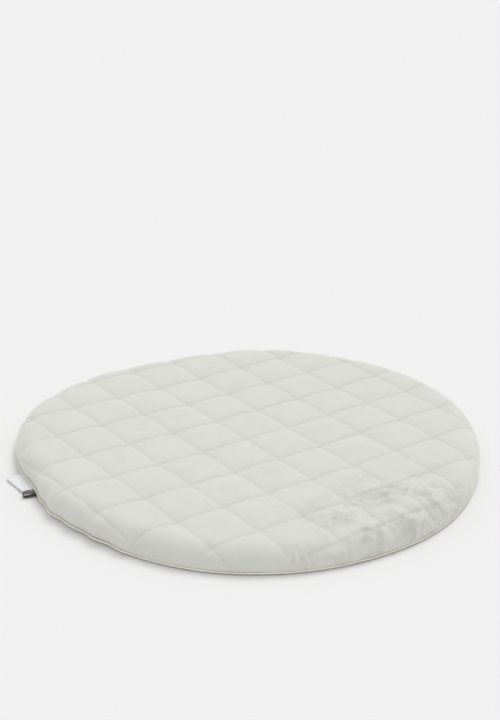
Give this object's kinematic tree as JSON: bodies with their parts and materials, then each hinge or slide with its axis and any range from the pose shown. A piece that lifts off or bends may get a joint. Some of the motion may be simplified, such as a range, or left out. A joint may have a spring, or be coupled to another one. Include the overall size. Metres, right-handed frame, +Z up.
{
  "type": "round quilted play mat",
  "caption": "Round padded floor mat in diamond-quilted velvet over a plain cotton base, with a bare folded label and a tape loop in the side seam.",
  "frame": {"origin": "middle of the mat at the floor, on the flat underside", "axes": "+Z up out of the floor, +Y away from the picture's camera, +X to its right"},
  "size_m": [1.0024, 1.0191, 0.0582],
  "materials": {
    "stone_velvet": "short velvet pile, brushed",
    "cream_cotton": "plain weave, matt",
    "white_label_satin": "satin ribbon",
    "charcoal_tape": "twill tape, matt"
  },
  "bodies": {
    "root": {"quilted_pad": "stone_velvet", "base_panel": "cream_cotton", "woven_label": "white_label_satin", "side_loop": "charcoal_tape"}
  },
  "joints": []
}
